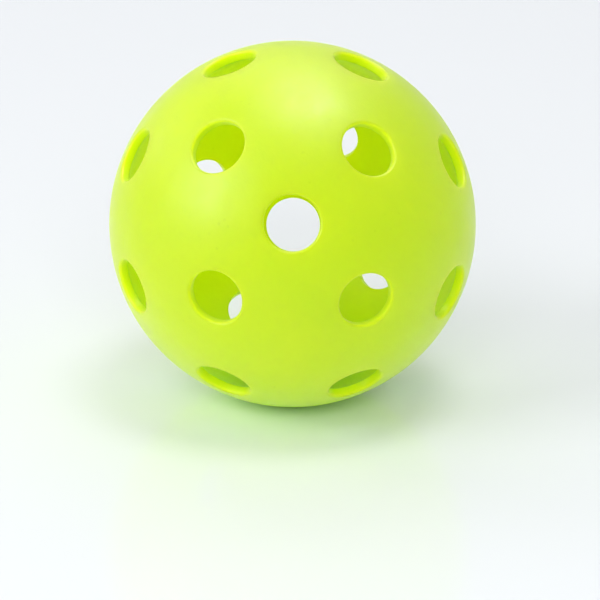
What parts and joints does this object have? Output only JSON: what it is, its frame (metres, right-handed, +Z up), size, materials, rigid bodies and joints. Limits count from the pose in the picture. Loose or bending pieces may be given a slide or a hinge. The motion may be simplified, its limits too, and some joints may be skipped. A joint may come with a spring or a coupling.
{
  "type": "perforated practice ball",
  "caption": "Hollow perforated plastic practice ball moulded as welded half shells with round air holes, standing on the rim of one hole.",
  "frame": {"origin": "centre of the sphere, which is also the ball's centre of mass", "axes": "+Z up with the ball standing on the rim of one hole; -Z runs out through the middle of that hole; the pole axis lies in the YZ plane and leaves the front shell's pole hole towards -Y, rising 20 degrees; X lies in the weld's plane"},
  "size_m": [0.042, 0.042, 0.0417],
  "materials": {
    "front_shell": "satin, slightly translucent lime green polyethylene",
    "rear_shell": "satin, slightly translucent lime green polyethylene",
    "weld_bead": "the same plastic, melted and set again, slightly glossier"
  },
  "bodies": {
    "root": {"front_shell": "front_shell", "rear_shell": "rear_shell", "weld_bead": "weld_bead"}
  },
  "joints": []
}
